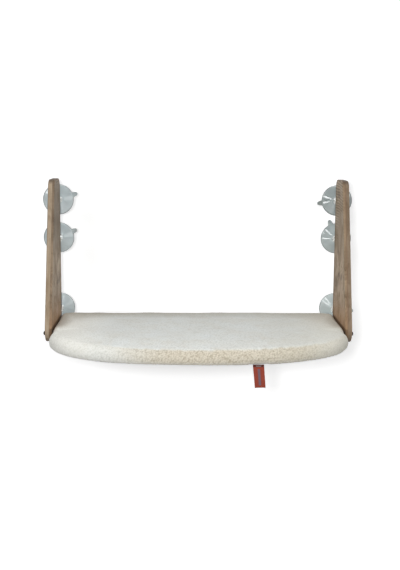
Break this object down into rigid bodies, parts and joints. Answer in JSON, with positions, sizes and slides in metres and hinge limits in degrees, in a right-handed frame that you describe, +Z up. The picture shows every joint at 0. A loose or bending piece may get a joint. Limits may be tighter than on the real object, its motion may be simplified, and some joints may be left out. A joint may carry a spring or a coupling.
{
  "type": "window mounted cat perch",
  "caption": "Padded D-shaped cat bed held between two tapered wooden side boards that fix to a window pane with suction cups.",
  "frame": {"origin": "on the window glass (y = 0), midway between the side boards (x = 0), level with the bed's top at the boards (z = 0)", "axes": "+X right along the glass seen from the room, +Y from the room into the glass, +Z up"},
  "size_m": [0.6171, 0.349, 0.3357],
  "materials": {
    "stained_wood": "grey-brown stained, matt, open grain",
    "plywood": "bare sanded plywood",
    "fleece": "cream short-pile sherpa fleece",
    "foam": "open-cell foam",
    "base_fabric": "plain woven base cloth",
    "zip_tape": "woven tape",
    "zip_nylon": "nylon",
    "zinc_steel": "zinc plated",
    "black_steel": "black oxide",
    "brass": "machined",
    "clear_vinyl": "translucent grey-green soft vinyl, glossy",
    "woven_label": "brick red satin weave with a plain stripe"
  },
  "bodies": {
    "perch": {"side_board_left": "stained_wood", "side_board_right": "stained_wood", "deck_board": "plywood", "side_rail_left": "plywood", "side_rail_right": "plywood", "deck_screws": "zinc_steel", "foam_pad": "foam", "fleece_cover": "fleece", "base_panel": "base_fabric", "zip_tapes": "zip_tape", "zip_teeth": "zip_nylon", "zip_stops": "zinc_steel", "rail_inserts": "brass", "bolt_spacers": "zip_nylon", "board_bolts": "black_steel", "bolt_washers": "black_steel", "cup_inserts": "brass", "cup_studs": "zinc_steel"},
    "zip_slider": {"zip_slider": "zinc_steel"},
    "zip_pull": {"zip_pull": "zinc_steel"},
    "woven_label": {"woven_label": "woven_label"},
    "cup_upper_left": {"cup_upper_left": "clear_vinyl"},
    "cup_middle_left": {"cup_middle_left": "clear_vinyl"},
    "cup_lower_left": {"cup_lower_left": "clear_vinyl"},
    "cup_upper_right": {"cup_upper_right": "clear_vinyl"},
    "cup_middle_right": {"cup_middle_right": "clear_vinyl"},
    "cup_lower_right": {"cup_lower_right": "clear_vinyl"}
  },
  "joints": [
    {"name": "cup_upper_left_turn", "type": "hinge", "parent": "perch", "child": "cup_upper_left", "pos_m": [-0.274, -0.015, 0.222], "axis": [0, 1, 0], "continuous": true},
    {"name": "cup_middle_left_turn", "type": "hinge", "parent": "perch", "child": "cup_middle_left", "pos_m": [-0.274, -0.015, 0.147], "axis": [0, 1, 0], "continuous": true},
    {"name": "cup_lower_left_turn", "type": "hinge", "parent": "perch", "child": "cup_lower_left", "pos_m": [-0.274, -0.015, 0.007], "axis": [0, 1, 0], "continuous": true},
    {"name": "cup_upper_right_turn", "type": "hinge", "parent": "perch", "child": "cup_upper_right", "pos_m": [0.274, -0.015, 0.222], "axis": [0, 1, 0], "continuous": true},
    {"name": "cup_middle_right_turn", "type": "hinge", "parent": "perch", "child": "cup_middle_right", "pos_m": [0.274, -0.015, 0.147], "axis": [0, 1, 0], "continuous": true},
    {"name": "cup_lower_right_turn", "type": "hinge", "parent": "perch", "child": "cup_lower_right", "pos_m": [0.274, -0.015, 0.007], "axis": [0, 1, 0], "continuous": true},
    {"name": "zip_slide", "type": "slide", "parent": "perch", "child": "zip_slider", "axis": [1, 0, 0], "range_m": [-0.4084, 0]},
    {"name": "zip_pull_swing", "type": "hinge", "parent": "zip_slider", "child": "zip_pull", "pos_m": [0.2042, -0.0698, -0.03448], "axis": [0, 1, 0], "range_deg": [-80, 80]},
    {"name": "label_swing", "type": "hinge", "parent": "perch", "child": "woven_label", "pos_m": [0.097, -0.33488, -0.0307], "axis": [1, 0, 0], "range_deg": [-85, 80]}
  ]
}
